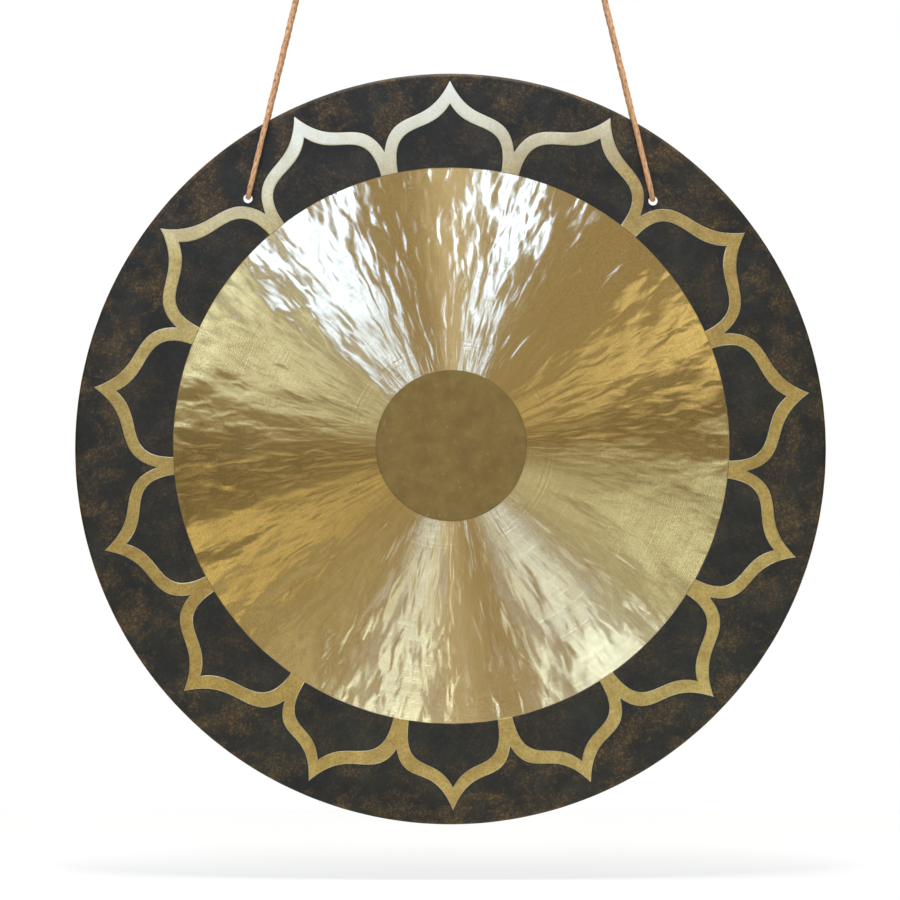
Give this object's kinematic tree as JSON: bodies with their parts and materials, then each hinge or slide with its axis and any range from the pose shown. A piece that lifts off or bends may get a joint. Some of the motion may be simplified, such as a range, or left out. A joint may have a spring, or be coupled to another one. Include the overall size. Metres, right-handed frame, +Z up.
{
  "type": "tam tam gong",
  "caption": "Flat bronze tam tam gong with a lathed bright ring, dark boss and lotus border, hung by cord loops through its two holes from steel S-hooks.",
  "frame": {"origin": "middle of the line on which the two S-hooks bear when they hang on a rail, level with the middle of the plate's thickness", "axes": "+Z up, +X to the right along the rail, the gong's face looks towards -Y"},
  "size_m": [0.61, 0.0313, 0.7582],
  "materials": {
    "patina_bronze": "blackened and bare hammered bronze",
    "cord": "twisted cord",
    "steel": "zinc plated wire"
  },
  "bodies": {
    "hooks": {"hook_left": "steel", "hook_right": "steel"},
    "cords": {"cord_left": "cord", "cord_right": "cord", "knot_left": "cord", "knot_right": "cord"},
    "gong": {"gong_disc": "patina_bronze"}
  },
  "joints": [
    {"name": "swing", "type": "hinge", "parent": "hooks", "child": "cords", "pos_m": [0, 0, -0.05006], "axis": [1, 0, 0], "range_deg": [-45, 45]},
    {"name": "tilt", "type": "hinge", "parent": "cords", "child": "gong", "pos_m": [0, 0, -0.24171], "axis": [1, 0, 0], "range_deg": [-1.5, 1.5]}
  ]
}
